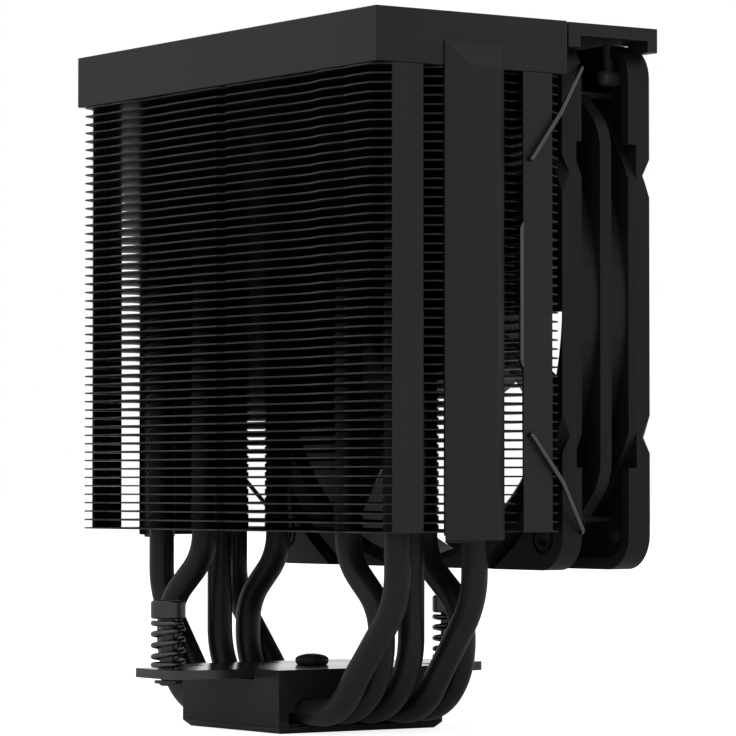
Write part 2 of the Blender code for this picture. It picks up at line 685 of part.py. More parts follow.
# --- wire clips and fan cap ---------------------------------------------------------------------------
def wire_clip(name, side):
    """A sprung wire: tips in the fan's corner holes, arms over the tabs, a run in the side groove."""
    hole_y = FAN_Y + FAN_HALF_DEPTH - FLANGE_THICKNESS
    hole = SCREW_HOLE_OFFSET
    high, low = WIRE_HEIGHTS
    corners = [(hole, WIRE_TIP_Y, hole), (hole, WIRE_HOOK[1], hole), (*WIRE_HOOK, hole)]
    corners += [(64.9, -23.2, 42.1)]
    corners += [(*WIRE_OUTSIDE, high), (*WIRE_BEHIND, high), (*WIRE_BEHIND, 19.0)]
    corners += [(*WIRE_RUN, 16.2), (*WIRE_RUN, -13.2)]
    corners += [(*WIRE_BEHIND, -16.0), (*WIRE_BEHIND, low), (*WIRE_OUTSIDE, low)]
    corners += [(64.9, -23.6, -39.8)]
    corners += [(*WIRE_HOOK, -hole), (hole, WIRE_HOOK[1], -hole), (hole, WIRE_TIP_Y, -hole)]
    radii = [0.9, 1.2, 4.0, 0.7, 0.7, 1.0, 1.0, 1.0, 1.0, 0.7, 0.7, 4.0, 1.2, 0.9]
    path = rounded_path([(side * x, y, FAN_Z + z) for x, y, z in corners], radii, 45)
    # The origin is on the line through the two corner holes, about which the clip turns.
    pivot = Vector((side * SCREW_HOLE_OFFSET, hole_y, FAN_Z))
    shape = sweep([point - pivot for point in path], WIRE_RADIUS, 5)
    add_object(name, shape, WIRE_STEEL, tuple(pivot), smooth=True)


def fan_cap():
    """A trim plate over the fan's top edge, with end legs and two stems that plug into the front flange."""
    plate = box((-CAP_HALF_X, CAP_FRONT_Y, CAP_PLATE_LOW), (CAP_HALF_X, CAP_REAR_Y, COVER_TOP))
    cap = add_object("fan_cap", plate, FAN_PLASTIC)
    legs = bmesh.new()
    stems = bmesh.new()
    for side in (-1, 1):
        xs = sorted((side * (FAN_HALF + 0.35), side * CAP_HALF_X))
        for low_y, high_y in ((CAP_REAR_Y - 3.4, CAP_REAR_Y), (CAP_FRONT_Y, CAP_FRONT_Y + 2.7)):
            box((xs[0], low_y, CAP_LEG_LOW), (xs[1], high_y, CAP_PLATE_LOW + 1), into=legs)
        middle = side * SCREW_HOLE_OFFSET
        top_hole = FAN_Z + SCREW_HOLE_OFFSET
        box((middle - 0.75, -47.4, top_hole), (middle + 0.75, -45.9, CAP_PLATE_LOW + 1), into=stems)
    join(cap, add_cutter("cap_legs", legs))
    join(cap, add_cutter("cap_stems", stems))
    inner = FAN_HALF_DEPTH - FLANGE_THICKNESS - GAP
    outer = FAN_HALF_DEPTH - 0.2
    profile = [(0, 3.8), (1.9, 3.8), (1.9, inner), (1.6, inner), (1.6, outer), (0, outer)]
    for name, side in (("cap_pin_left", -1), ("cap_pin_right", 1)):
        place = (side * SCREW_HOLE_OFFSET, FAN_Y, FAN_Z + SCREW_HOLE_OFFSET)
        join(cap, add_cutter(name, lathe(profile, 10), place, FAN_TURN))


def build():
    clear_scene()
    cold_plate()
    base_block()
    mounting_bar()
    bar_screw()
    for place, y in (("front", -SCREW_Y), ("rear", SCREW_Y)):
        spring_screw(f"spring_screw_{place}", y)
        retaining_ring(f"screw_ring_{place}", y)
        coil_spring(f"screw_spring_{place}", y)
    heat_pipes()
    fin_stack()
    top_cover()
    side_bar("side_bar_left", -1)
    side_bar("side_bar_right", 1)
    fan_frame()
    fan_rotor()
    motor()
    fan_cable()
    fan_plugs()
    fan_cap()
    wire_clip("wire_clip_left", -1)
    wire_clip("wire_clip_right", 1)


build()
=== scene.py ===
"""The looks of a black CPU tower cooler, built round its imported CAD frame.

Every size is in millimetres and becomes metres in the meshes. +Z is up, X runs across the fins,
and the fan stands on the tower's -Y face. The fan's pieces are made about local +Z, which points to -Y.
"""

from math import asin, cos, pi, radians, sin, tan

import bmesh
import bpy
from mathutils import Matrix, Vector


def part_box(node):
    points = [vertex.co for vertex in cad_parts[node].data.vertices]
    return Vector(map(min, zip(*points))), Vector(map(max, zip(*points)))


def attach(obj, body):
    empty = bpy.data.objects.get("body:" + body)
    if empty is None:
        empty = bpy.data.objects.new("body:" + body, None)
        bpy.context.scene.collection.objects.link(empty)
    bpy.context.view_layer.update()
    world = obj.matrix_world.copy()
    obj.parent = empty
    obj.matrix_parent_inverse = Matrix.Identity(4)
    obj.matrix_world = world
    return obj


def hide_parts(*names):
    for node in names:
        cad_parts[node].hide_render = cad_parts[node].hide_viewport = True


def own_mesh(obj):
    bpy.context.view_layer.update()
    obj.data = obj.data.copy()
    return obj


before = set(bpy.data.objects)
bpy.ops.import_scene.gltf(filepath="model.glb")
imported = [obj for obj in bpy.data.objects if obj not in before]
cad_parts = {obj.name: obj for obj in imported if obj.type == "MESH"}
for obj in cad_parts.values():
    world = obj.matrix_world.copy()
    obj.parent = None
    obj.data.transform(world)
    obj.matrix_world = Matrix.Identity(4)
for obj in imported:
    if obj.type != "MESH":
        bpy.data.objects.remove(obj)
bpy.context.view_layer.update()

MM = 0.001


def limits(node):
    """A CAD node's lowest and highest corners in millimetres."""
    low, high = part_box(node)
    return low / MM, high / MM


COVER_LOW, COVER_HIGH = limits("top_cover")
BLOCK_LOW, BLOCK_HIGH = limits("base_block")
PLATE_HIGH = limits("cold_plate")[1]
BAR_LOW, BAR_HIGH = limits("mounting_bar")
FAN_LOW, FAN_HIGH = limits("fan_frame")
CAP_LOW, CAP_HIGH = limits("fan_cap")
FINS_LOW = limits("fin_stack")[0]
TRIM_LOW, TRIM_HIGH = limits("side_bar_right")
SCREW_LOW, SCREW_HIGH = limits("spring_screw_rear")
SPRING_LOW, SPRING_HIGH = limits("screw_spring_rear")

# --- driving dimensions -------------------------------------------------------------------------------
HALF_WIDTH = COVER_HIGH.x
SCREW_Y = (SCREW_LOW.y + SCREW_HIGH.y) / 2

# Fins
FIN_THICKNESS = 0.34
FIN_PITCH = 2.036
FIN_COUNT = 51
FIN_FIRST = FINS_LOW.z + 0.1
TAB_INNER_Y = 13.6
TAB_OUTER_Y = 21.6
TAB_THICKNESS = 0.5
TAB_SLIT = 0.02
TAB_TOP = COVER_LOW.z - 0.02
# The front tabs with a hole, where a clip's wire passes in between two fins, and how far each hole
# stands above the middle of that gap.
HOLED_TABS = {10: 0.0, 40: 0.2}
WIRE_HOLE_Y = (15.25, 15.85)
WIRE_HOLE_HALF = 0.55
# Half of one fin's rear edge: the small notch at the middle, then the steps out to the corner.
FIN_EDGE = (
    (0.0, 23.8), (2.0, 25.2), (24.0, 24.9), (25.5, 24.5), (36.0, 24.4), (38.5, 25.0), (42.0, 25.75),
    (49.0, 25.5), (49.8, 25.1), (54.0, 25.8), (60.9, 25.6),
)
# The hollow in the fins' side edge, which starts behind a folded strip and ends at the trim bar.
GROOVE_EDGE = (
    (61.6, 15.8), (61.3, 13.2), (60.8, 12.4), (61.2, 11.2),
    (62.1, 9.9), (63.2, 8.8), (63.6, 7.9), (61.6, 7.6),
)
COLLAR_WALL = 0.3
COLLAR_HEIGHT = 1.3

# Heat pipes
PIPE_RADIUS = 3.0
PIPE_BASE_Z = 4.9
PIPE_PITCH = 7.5
PIPE_TOP = limits("heatpipe_1")[1].z
LEG_OUTER_X = 49.8
LEG_MIDDLE_X = 40.1
LEG_INNER_X = 30.4
LEG_Y = 10.5
# Which leg each pipe feeds, from the rear pipe to the front one, on the -X and the +X side.
PIPE_LEGS = (
    ("outer", "inner"),
    ("inner", "outer"),
    ("middle", "middle"),
    ("outer", "inner"),
    ("inner", "outer"),
)

# Fan, in its own frame
FAN_Y = (FAN_LOW.y + FAN_HIGH.y) / 2
FAN_Z = (FAN_LOW.z + FAN_HIGH.z) / 2
FAN_HALF = (FAN_HIGH.z - FAN_LOW.z) / 2
FAN_FACE = (FAN_HIGH.y - FAN_LOW.y) / 2
FAN_PLACE = (0, FAN_Y, FAN_Z)
FAN_TURN = (pi / 2, 0, 0)
HOLE_OFFSET = 52.5
HOLE_SPOTS = [(x, y) for x in (-HOLE_OFFSET, HOLE_OFFSET) for y in (-HOLE_OFFSET, HOLE_OFFSET)]
HOLE_RADIUS = 2.15
BORE_RADIUS = 57.5
BARREL_RADIUS = 59.4
RING_RADIUS = 66.6
FLANGE_CORNER = 8.0
REAR_FLANGE = 4.0
FRONT_FLANGE = 3.8
FAN_SIDES = 96
MOTOR_PLATE = (-12.2, -10.2)
HUB_RADIUS = 20.0
HUB_TOP = 11.5
BLADE_COUNT = 7
BLADE_TIP = 56.2

# Trim plate over the fan: the height of its underside and of its legs' feet
CAP_UNDER = 157.1
CAP_FOOT = 154.5

# Wire clips: points of the wire's path as (x, y), and the heights of its bends above the fan's axis
WIRE_RADIUS = 0.55
CLIP_PIVOT_Y = -32.0
WIRE_TIP_Y = -30.0
WIRE_TIP_RISE = 1.2
WIRE_HOOK = (61.0, -32.6)
WIRE_OUTSIDE = (65.2, -15.2)
WIRE_BEHIND = (62.6, -14.95)
WIRE_RUN = (64.3, -12.8)
WIRE_RUN_TOP = (18.6, 16.2)
WIRE_RUN_FOOT = (-13.2, -15.6)
WIRE_UPPER_BEND = (64.9, -23.2, 42.1)
WIRE_LOWER_BEND = (64.9, -23.6, -39.8)
WIRE_RADII = (0.9, 1.1, 5.0, 0.7, 0.7, 1.2, 1.2, 1.2, 1.2, 0.7, 0.7, 5.0, 1.1, 0.9)

# Spring screws
SCREW_SHANK = 2.0
SCREW_HEAD = 3.95
SCREW_HEAD_LOW = 25.8
SPRING_WIRE = 0.62
SPRING_RADIUS = 3.4
SPRING_TURNS = 4.6

# Studio: the room is bright at the cooler's rear and left and fades towards the fan's side.
KEY_DIRECTION = (-0.44, 0.84, 0.28)
ROOM_EDGES = (-1.0, -0.1)
AMBIENT_LOW = 0.05
AMBIENT_HIGH = 0.575
# Patches of light on top of that: a direction, the cosine where the patch starts, and its strength.
LIGHT_PATCHES = (
    # The white wall behind the cooler, which its polished tops and edges mirror.
    ((0.83, -0.55, 0.0), 0.88, 0.9),
    # In front of the fan.
    ((-0.08, -0.99, -0.05), 0.9, 1.0),
    # A faint wide one at the rear right.
    ((0.82, 0.57, 0.10), 0.3, 0.02),
)
# The floor's own light, as the camera sees it and as it falls on the cooler.
FLOOR_GLOW = 0.85
FLOOR_BOUNCE = 0.05
FLOOR_TONE = 0.85
CAMERA_PLACE = (-752.79, 501.29, 55.45)
CAMERA_TURN = (91.7686, 0, 235.515)
CAMERA_LENS = 189.85


# --- materials ----------------------------------------------------------------------------------------
def link(tree, source, target, name):
    """Joins a node's output to the named input of another node."""
    tree.links.new(source, target.inputs[name])


def add_node(tree, kind, **inputs):
    """A new node with its inputs set by name, with _ for each space."""
    made = tree.nodes.new(kind)
    for name, value in inputs.items():
        made.inputs[name.replace("_", " ")].default_value = value
    return made


def scaled(tree, factor, low, high):
    """Maps a 0 to 1 value onto low to high."""
    spread = add_node(tree, "ShaderNodeMapRange", To_Min=low, To_Max=high)
    link(tree, factor, spread, "Value")
    return spread.outputs["Result"]


def noise(tree, place, scale, detail):
    """A noise pattern's value over the piece."""
    pattern = add_node(tree, "ShaderNodeTexNoise", Scale=scale, Detail=detail)
    link(tree, place, pattern, "Vector")
    return pattern.outputs["Fac"]


def painted_edge_highlight(tree, slow):
    """A painted highlight: a factor above zero in patches along the piece's convex edges, where the colour is
    made lighter.
    """
    edges = tree.nodes.new("ShaderNodeNewGeometry")
    edge_band = add_node(tree, "ShaderNodeMapRange", From_Min=0.52, From_Max=0.62)
    link(tree, edges.outputs["Pointiness"], edge_band, "Value")
    broken = tree.nodes.new("ShaderNodeMath")
    broken.operation = "MULTIPLY"
    tree.links.new(edge_band.outputs["Result"], broken.inputs[0])
    tree.links.new(slow, broken.inputs[1])
    return broken.outputs["Value"]


def mixed(tree, factor, one, other):
    """A colour between two: one is a colour or another node's output, other is a colour."""
    blend = tree.nodes.new("ShaderNodeMix")
    blend.data_type = "RGBA"
    first, second = [socket for socket in blend.inputs if socket.type == "RGBA"]
    if isinstance(one, tuple):
        first.default_value = (*one, 1)
    else:
        tree.links.new(one, first)
    second.default_value = (*other, 1)
    link(tree, factor, blend, "Factor")
    return [socket for socket in blend.outputs if socket.type == "RGBA"][0]


def finish(
    name,
    colour,
    roughness,
    metallic=0.0,
    specular=0.4,
    grain=2600,
    depth=0.012,
    stretch=(1, 1, 1),
    edge_highlight=1.5,
):
    """A surface with fine grain, slow changes of tone and gloss, and a painted highlight that makes its
    convex edges a little lighter.
    """
    variation = 0.16
    gloss_change = 0.06
    made = bpy.data.materials.new(name)
    made.use_nodes = True
    tree = made.node_tree
    shader = tree.nodes["Principled BSDF"]
    shader.inputs["Metallic"].default_value = metallic
    shader.inputs["Specular IOR Level"].default_value = specular
    place = tree.nodes.new("ShaderNodeTexCoord").outputs["Object"]
    spread = add_node(tree, "ShaderNodeMapping", Scale=stretch)
    link(tree, place, spread, "Vector")
    fine = noise(tree, spread.outputs["Vector"], grain, 2.0)
    slow = noise(tree, place, 30, 3.0)

    # The last factor makes the convex edges lighter: a painted highlight.
    factors = (1 - variation, 1 + variation, edge_highlight)
    dark, light, highlit = [tuple(channel * factor for channel in colour) for factor in factors]
    tone = mixed(tree, slow, dark, light)
    link(tree, mixed(tree, painted_edge_highlight(tree, slow), tone, highlit), shader, "Base Color")
    gloss = scaled(tree, slow, roughness - gloss_change, roughness + gloss_change)
    link(tree, gloss, shader, "Roughness")
    relief = add_node(tree, "ShaderNodeBump", Strength=0.35, Distance=depth * MM)
    link(tree, fine, relief, "Height")
    link(tree, relief.outputs["Normal"], shader, "Normal")
    return made


def grey(level, warmth=0.0):
    """A neutral colour, a little warmer when warmth is above zero."""
    return (level * (1 + warmth), level, level * (1 - warmth))


# Each finish below paints a highlight onto its convex edges, a little lighter than its own colour.
COAT = finish("black_coat_look", grey(0.014), 0.44, specular=0.35, depth=0.02)
FIN_COAT = finish("black_fin_look", grey(0.014), 0.42, specular=0.35, grain=1800, depth=0.015)
PIPE_COAT = finish("black_pipe_look", grey(0.013), 0.38, specular=0.3, grain=1500, depth=0.02)
BASE_COAT = finish("black_nickel_look", grey(0.021), 0.14, specular=0.12, stretch=(0.06, 1, 1))
BAR_STEEL = finish("dark_bar_look", grey(0.077, 0.03), 0.16, metallic=0.9, stretch=(1, 0.08, 1), edge_highlight=1.9)
SCREW_STEEL = finish("dark_screw_look", grey(0.075, 0.03), 0.3, metallic=0.9)
SPRING_STEEL = finish("spring_steel_look", grey(0.12, 0.02), 0.28, metallic=1.0, edge_highlight=1.3)
CLIP_STEEL = finish("clip_wire_look", grey(0.13, 0.01), 0.22, metallic=1.0, edge_highlight=1.1)
PLASTIC = finish("fan_plastic_look", grey(0.010), 0.5, specular=0.25, grain=1400, depth=0.035)
BLADE_PLASTIC = finish("fan_blade_look", grey(0.012), 0.38, specular=0.4, grain=1600, depth=0.02)
STEM_PLASTIC = finish("trim_stem_look", grey(0.05), 0.32, specular=0.6, grain=1600, depth=0.02)
RUBBER = finish("soft_rubber_look", grey(0.016), 0.75, specular=0.2, grain=900, depth=0.04)
SLEEVE = finish("cable_sleeve_look", grey(0.014), 0.65, specular=0.25, grain=1200, depth=0.06)
MOTOR_STEEL = finish("motor_steel_look", grey(0.35), 0.4, metallic=1.0, stretch=(1, 1, 0.1))
MAGNET = finish("magnet_look", grey(0.05), 0.6, metallic=0.2)
BRONZE = finish("bronze_look", (0.5, 0.33, 0.14), 0.42, metallic=1.0)
BOARD = finish("board_look", (0.012, 0.09, 0.035), 0.45, grain=500)
COPPER = finish(
    "copper_look", (0.6, 0.24, 0.09), 0.35, metallic=1.0, stretch=(1, 1, 0.05), grain=2500, depth=0.05
)


# --- mesh helpers -------------------------------------------------------------------------------------
def circle(radius, sides, centre=(0, 0)):
    """A closed outline of points round a centre."""
    turns = [k * 2 * pi / sides for k in range(sides)]
    return [(centre[0] + radius * cos(turn), centre[1] + radius * sin(turn)) for turn in turns]


def arc(centre, radius, start, end, steps):
    """Points along an arc, with its angles in degrees."""
    turns = [radians(start + (end - start) * k / steps) for k in range(steps + 1)]
    return [(centre[0] + radius * cos(turn), centre[1] + radius * sin(turn)) for turn in turns]


def four_corners(quarter):
    """Repeats the points of one corner round all four quarters."""
    points = []
    for turn in range(4):
        for x, y in quarter:
            for _ in range(turn):
                x, y = -y, x
            points.append((x, y))
    return points


def slab(outline, low, high, holes=(), into=None):
    """A flat plate between two heights, with holes through it."""
    shape = into or bmesh.new()
    edges = []
    for loop in (outline, *holes):
        corners = [shape.verts.new((x, y, low)) for x, y in loop]
        edges += [shape.edges.new((corners[k - 1], corners[k])) for k in range(len(corners))]
    filled = bmesh.ops.triangle_fill(shape, use_beauty=True, use_dissolve=False, edges=edges)
    faces = [part for part in filled["geom"] if isinstance(part, bmesh.types.BMFace)]
    grown = bmesh.ops.extrude_face_region(shape, geom=faces)
    top = [part for part in grown["geom"] if isinstance(part, bmesh.types.BMVert)]
    bmesh.ops.translate(shape, vec=(0, 0, high - low), verts=top)
    return shape


def box(low, high, into=None):
    """An upright block between two corners."""
    outline = [(low[0], low[1]), (high[0], low[1]), (high[0], high[1]), (low[0], high[1])]
    return slab(outline, low[2], high[2], into=into)


def loft(shape, rings):
    """Joins each closed ring of vertices to the next one."""
    for near, far in zip(rings, rings[1:]):
        for k in range(len(near)):
            shape.faces.new((near[k - 1], near[k], far[k], far[k - 1]))


def lathe(profile, sides, into=None, centre=(0, 0)):
    """Turns a closed (radius, height) profile about Z. Points on the axis become one vertex."""
    shape = into or bmesh.new()
    rings = []
    for radius, height in profile:
        if radius < 1e-6:
            rings.append([shape.verts.new((*centre, height))] * sides)
        else:
            rings.append([shape.verts.new((x, y, height)) for x, y in circle(radius, sides, centre)])
    for near, far in zip(rings, rings[1:] + rings[:1]):
        for k in range(sides):
            corners = list(dict.fromkeys((near[k - 1], near[k], far[k], far[k - 1])))
            if len(corners) > 2:
                shape.faces.new(corners)
    return shape


def rounded_path(corners, radii, step_angle=6):
    """The points of a path of straight runs, with each inner corner bent to its radius."""
    points = [Vector(corners[0])]
    for before, corner, after, radius in zip(corners, corners[1:], corners[2:], radii):
        corner = Vector(corner)
        arriving = (corner - Vector(before)).normalized()
        leaving = (Vector(after) - corner).normalized()
        angle = arriving.angle(leaving)
        inward = (leaving - arriving * arriving.dot(leaving)).normalized()
        start = corner - arriving * radius * tan(angle / 2)
        steps = max(3, round(angle / radians(step_angle)))
        for k in range(steps + 1):
            turn = angle * k / steps
            points.append(start + inward * radius * (1 - cos(turn)) + arriving * radius * sin(turn))
    points.append(Vector(corners[-1]))
    return points


def sweep(points, radius, sides, dome=0.35):
    """A round bar along a path, with its ends rounded over."""
    shape = bmesh.new()
    ahead = (points[1] - points[0]).normalized()
    across = ahead.orthogonal().normalized()
    last = len(points) - 1
    rings = []

    def add_ring(point, tangent, scale):
        other = tangent.cross(across)
        loop = circle(radius * scale, sides)
        rings.append([shape.verts.new(point + across * x + other * y) for x, y in loop])

    for k, point in enumerate(points):
        tangent = (points[min(k + 1, last)] - points[max(k - 1, 0)]).normalized()
        across = (across - tangent * across.dot(tangent)).normalized()
        if k == 0:
            add_ring(point, tangent, 1 - dome)
            add_ring(point + tangent * radius * dome, tangent, 1.0)
        elif k == last:
            add_ring(point - tangent * radius * dome, tangent, 1.0)
            add_ring(point, tangent, 1 - dome)
        else:
            add_ring(point, tangent, 1.0)
    loft(shape, rings)
    shape.faces.new(list(reversed(rings[0])))
    shape.faces.new(rings[-1])
    return shape


def add_object(name, shape, look, place=(0, 0, 0), turn=(0, 0, 0), sharp=32):
    """Turns a bmesh in millimetres into a smooth-shaded object in metres."""
    bmesh.ops.recalc_face_normals(shape, faces=shape.faces[:])
    bmesh.ops.scale(shape, vec=(MM, MM, MM), verts=shape.verts[:])
    mesh = bpy.data.meshes.new(name)
    shape.to_mesh(mesh)
    shape.free()
    mesh.shade_smooth()
    mesh.set_sharp_from_angle(angle=radians(sharp))
    if look:
        mesh.materials.append(look)
    made = bpy.data.objects.new(name, mesh)
    made.location = Vector(place) * MM
    made.rotation_euler = turn
    bpy.context.scene.collection.objects.link(made)
    return made


def soften(piece, width, segments=2, angle=35):
    """Rounds the piece's hard edges."""
    edge = piece.modifiers.new("rounded edges", "BEVEL")
    edge.width = width * MM
    edge.segments = segments
    edge.limit_method = "ANGLE"
    edge.angle_limit = radians(angle)
    edge.harden_normals = True
    edge.use_clamp_overlap = True


def combine(piece, shape, operation):
    """Joins or cuts another shape, given in the piece's own frame, and applies the result."""
    tool = add_object("tool", shape, None)
    tool.location = piece.location
    tool.rotation_euler = piece.rotation_euler
    change = piece.modifiers.new("combine", "BOOLEAN")
    change.operation = operation
    change.solver = "EXACT"
    change.object = tool
    bpy.context.view_layer.update()
    graph = bpy.context.evaluated_depsgraph_get()
    result = bpy.data.meshes.new_from_object(piece.evaluated_get(graph), depsgraph=graph)
    piece.modifiers.remove(change)
    old = piece.data
    result.name = old.name
    piece.data = result
    bpy.data.meshes.remove(old)
    bpy.data.objects.remove(tool, do_unlink=True)


def settle(piece, body, slot, *nodes):
    """Puts a finished piece on its body, in place of CAD nodes."""
    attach(piece, body)
    if nodes:
        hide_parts(*nodes)


# --- heat pipes ---------------------------------------------------------------------------------------
def half_path(side, base_y, kind):
    """One half of a pipe, from the middle of the base to the top of its leg."""
    leg_y = LEG_Y if base_y > 0 else -LEG_Y
    start = (0, base_y, PIPE_BASE_Z)
    if kind == "middle":
        corners = [start, (LEG_MIDDLE_X, 0, PIPE_BASE_Z), (LEG_MIDDLE_X, 0, PIPE_TOP)]
        radii = [17]
    elif kind == "outer":
        corners = [start, (33.8, base_y, PIPE_BASE_Z), (39.9, base_y, 13.0)]
        corners += [(LEG_OUTER_X, leg_y, 30.0), (LEG_OUTER_X, leg_y, PIPE_TOP)]
        radii = [14, 8, 22]
    else:
        waist_y = base_y + (leg_y - base_y) * 0.25
        corners = [start, (40.1, base_y, PIPE_BASE_Z), (40.1, waist_y, 28.6)]
        corners += [(LEG_INNER_X, leg_y, 39.4), (LEG_INNER_X, leg_y, PIPE_TOP)]
        radii = [17, 13, 13]
    return [Vector((side * p.x, p.y, p.z)) for p in rounded_path(corners, radii, 4)]


def heat_pipes():
    """Five pipes, each a U from one leg through the base to its other leg."""
    for k, (left, right) in enumerate(PIPE_LEGS):
        base_y = (2 - k) * PIPE_PITCH
        points = half_path(-1, base_y, left)[::-1] + half_path(1, base_y, right)[1:]
        pipe = add_object(f"pipe_{k + 1}", sweep(points, PIPE_RADIUS, 32, dome=0.6), PIPE_COAT)
        settle(pipe, "tower", "black_nickel_pipe", f"heatpipe_{k + 1}")


def leg_positions():
    """The (x, y) of the ten pipe legs."""
    spots = [(-LEG_MIDDLE_X, 0), (LEG_MIDDLE_X, 0)]
    for side in (-1, 1):
        for x in (LEG_OUTER_X, LEG_INNER_X):
            spots += [(side * x, -LEG_Y), (side * x, LEG_Y)]
    return spots


# --- fins, cover and trim bars ------------------------------------------------------------------------
def fin_outline():
    """One fin seen from above, with its stepped edges and the hollows beside the trim bars."""
    inner = HALF_WIDTH - TAB_THICKNESS / 2
    side = [(inner, TAB_OUTER_Y), (inner, GROOVE_EDGE[0][1])] + list(GROOVE_EDGE)
    quarter = list(FIN_EDGE) + side
    right_front = [(x, -y) for x, y in reversed(quarter)]
    left_front = [(-x, -y) for x, y in quarter[1:]]
    left_rear = [(-x, y) for x, y in reversed(quarter[1:])]
    return quarter + right_front + left_front + left_rear


def fins():
    """One fin with its collars, repeated up the tower."""
    inner = PIPE_RADIUS + 0.05
    holes = [circle(inner, 16, spot) for spot in leg_positions()]
    shape = slab(fin_outline(), FIN_FIRST, FIN_FIRST + FIN_THICKNESS, holes)
    foot = FIN_FIRST + FIN_THICKNESS * 0.5
    rim = foot + COLLAR_HEIGHT
    for spot in leg_positions():
        profile = [(inner, foot), (inner + COLLAR_WALL, foot), (inner + COLLAR_WALL, rim), (inner, rim)]
        lathe(profile, 16, shape, spot)
    stack = add_object("fins", shape, FIN_COAT, sharp=25)
    copies = stack.modifiers.new("fins up the tower", "ARRAY")
    copies.count = FIN_COUNT
    copies.use_relative_offset = False
    copies.use_constant_offset = True
    copies.constant_offset_displace = (0, 0, FIN_PITCH * MM)
    settle(stack, "tower", "black_fins", "fin_stack")


def gap_height(k):
    """The height half way between fin k and the one above it."""
    return FIN_FIRST + k * FIN_PITCH + (FIN_PITCH + FIN_THICKNESS) / 2


def tab_parts(k, end):
    """A folded tab's blocks as (near y, far y, low, high), which leave a hole where a wire passes."""
    low = FIN_FIRST + k * FIN_PITCH
    high = min(low + FIN_PITCH - TAB_SLIT, TAB_TOP)
    if end > 0 or k not in HOLED_TABS:
        return [(TAB_INNER_Y, TAB_OUTER_Y, low, high)]
    near, far = WIRE_HOLE_Y
    middle = gap_height(k) + HOLED_TABS[k]
    return [
        (TAB_INNER_Y, near, low, high),
        (far, TAB_OUTER_Y, low, high),
        (near, far, low, middle - WIRE_HOLE_HALF),
        (near, far, middle + WIRE_HOLE_HALF, high),
    ]


def strips():
    """The fins' folded tabs, which stand on each other and make four smooth strips."""
    shape = bmesh.new()
    for k in range(FIN_COUNT):
        for side in (-1, 1):
            xs = sorted((side * (HALF_WIDTH - TAB_THICKNESS), side * HALF_WIDTH))
            for end in (-1, 1):
                for near, far, low, high in tab_parts(k, end):
                    ys = sorted((end * near, end * far))
                    box((xs[0], ys[0], low), (xs[1], ys[1], high), shape)
    settle(add_object("folded_strips", shape, FIN_COAT), "tower", "black_fins", "fin_stack")


def cover():
    """The cap over the fins, open below."""
    wall = 1.4
    roof = 2.0
    piece = add_object("cover", box(COVER_LOW, COVER_HIGH), COAT)
    hollow_low = (COVER_LOW.x + wall, COVER_LOW.y + wall, COVER_LOW.z - 1)
    hollow_high = (COVER_HIGH.x - wall, COVER_HIGH.y - wall, COVER_HIGH.z - roof)
    combine(piece, box(hollow_low, hollow_high), "DIFFERENCE")
    soften(piece, 0.3, 3)
    settle(piece, "tower", "black_coat", "top_cover")


def trim_bar(name, side, node):
    """A bar with a flat face and sloping flanks, whose top slopes back to the cover."""
    back = HALF_WIDTH + 0.3
    half = 8.1
    flat_half = 3.75
    face_top = 148.0
    plan = ((back, -half), (TRIM_HIGH.x, -flat_half), (TRIM_HIGH.x, flat_half), (back, half))
    shape = bmesh.new()
    low = [shape.verts.new((side * x, y, TRIM_LOW.z)) for x, y in plan]
    tops = (TRIM_HIGH.z, face_top, face_top, TRIM_HIGH.z)
    high = [shape.verts.new((side * x, y, top)) for (x, y), top in zip(plan, tops)]
    loft(shape, (low, high))
    shape.faces.new(low)
    shape.faces.new(high)
    bar = add_object(name, shape, COAT)
    xs = sorted((side * (back - 2.2), side * (back + 0.4)))
    combine(bar, box((xs[0], -6.9, TRIM_LOW.z + 1), (xs[1], 6.9, COVER_LOW.z - 0.3)), "UNION")
    # The clip that holds the bar shows as a thin lip under its foot.
    combine(bar, box((xs[0], -0.9, TRIM_LOW.z - 0.6), (xs[1], 6.4, TRIM_LOW.z + 1.2)), "UNION")
    soften(bar, 0.18, 2, 20)
    settle(bar, "tower", "black_coat", node)


# --- base, mounting bar and screws --------------------------------------------------------------------
def base_block():
    """The block over the pipes, with a seat for each pipe and a slot for the bar."""
    low = PLATE_HIGH.z + 0.02
    wall = 19.9
    seat = PIPE_BASE_Z - 0.2
    half_y = BLOCK_HIGH.y
    profile = [(-half_y, low), (-wall, low), (-wall, seat)]
    for k in range(len(PIPE_LEGS)):
        profile += arc(((k - 2) * PIPE_PITCH, PIPE_BASE_Z), PIPE_RADIUS + 0.2, 180, 0, 16)
    profile += [(wall, seat), (wall, low)]
    profile += [(half_y, low), (half_y, BLOCK_HIGH.z), (-half_y, BLOCK_HIGH.z)]
    shape = slab(profile, BLOCK_LOW.x, BLOCK_HIGH.x)
    block = add_object("block", shape, BASE_COAT, turn=(pi / 2, 0, pi / 2))
    block.data.transform(block.matrix_basis)
    block.rotation_euler = (0, 0, 0)
    slot_half = BAR_HIGH.x + 0.15
    slot = box((-slot_half, -half_y - 1, BAR_LOW.z - 0.3), (slot_half, half_y + 1, BLOCK_HIGH.z + 1))
    combine(block, slot, "DIFFERENCE")
    combine(block, slab(circle(2.1, 24), BAR_LOW.z - 3.5, BAR_LOW.z + 1), "DIFFERENCE")
    soften(block, 0.25, 2)
    settle(block, "tower", "black_nickel", "base_block")


